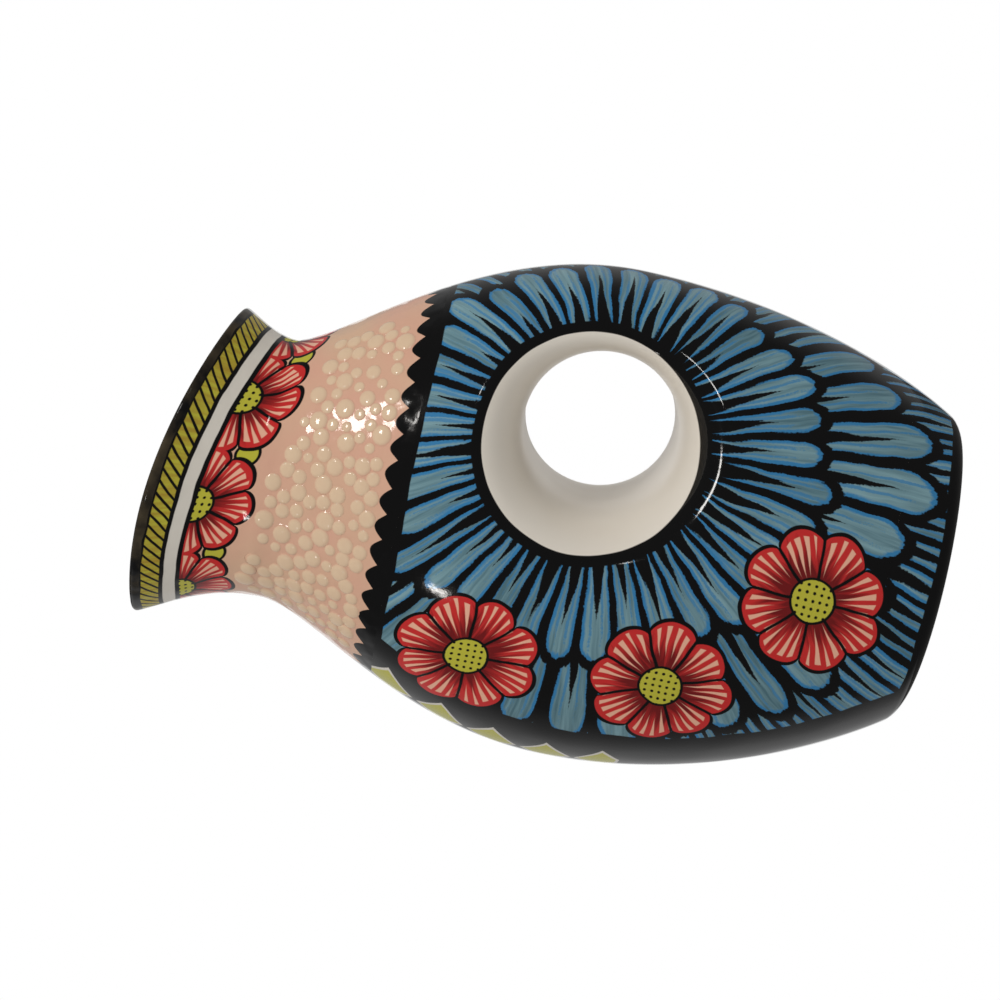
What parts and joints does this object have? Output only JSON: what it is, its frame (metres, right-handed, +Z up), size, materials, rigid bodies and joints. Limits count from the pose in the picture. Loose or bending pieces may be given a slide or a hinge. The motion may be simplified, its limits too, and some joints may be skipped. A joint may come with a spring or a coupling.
{
  "type": "ceramic jug",
  "caption": "Upright glazed ceramic jug with a flattened round body, a hand hole through the body as its handle, and a slanted mouth with a pouring lip.",
  "frame": {"origin": "on the plane the foot stands on, below the middle of the belly", "axes": "+Z up, the pouring lip points along -X, the handle side is +X, and the bore of the hand hole runs along Y"},
  "size_m": [0.134, 0.0874, 0.208],
  "materials": {
    "foot_glaze": "gloss",
    "belly_glaze": "gloss",
    "white_glaze": "gloss",
    "neck_glaze": "gloss",
    "mouth_glaze": "gloss"
  },
  "bodies": {
    "root": {"foot_dish": "foot_glaze", "left_belly_shell": "belly_glaze", "right_belly_shell": "belly_glaze", "hand_hole_sleeve": "white_glaze", "neck_ring": "neck_glaze", "pouring_mouth": "mouth_glaze"}
  },
  "joints": []
}
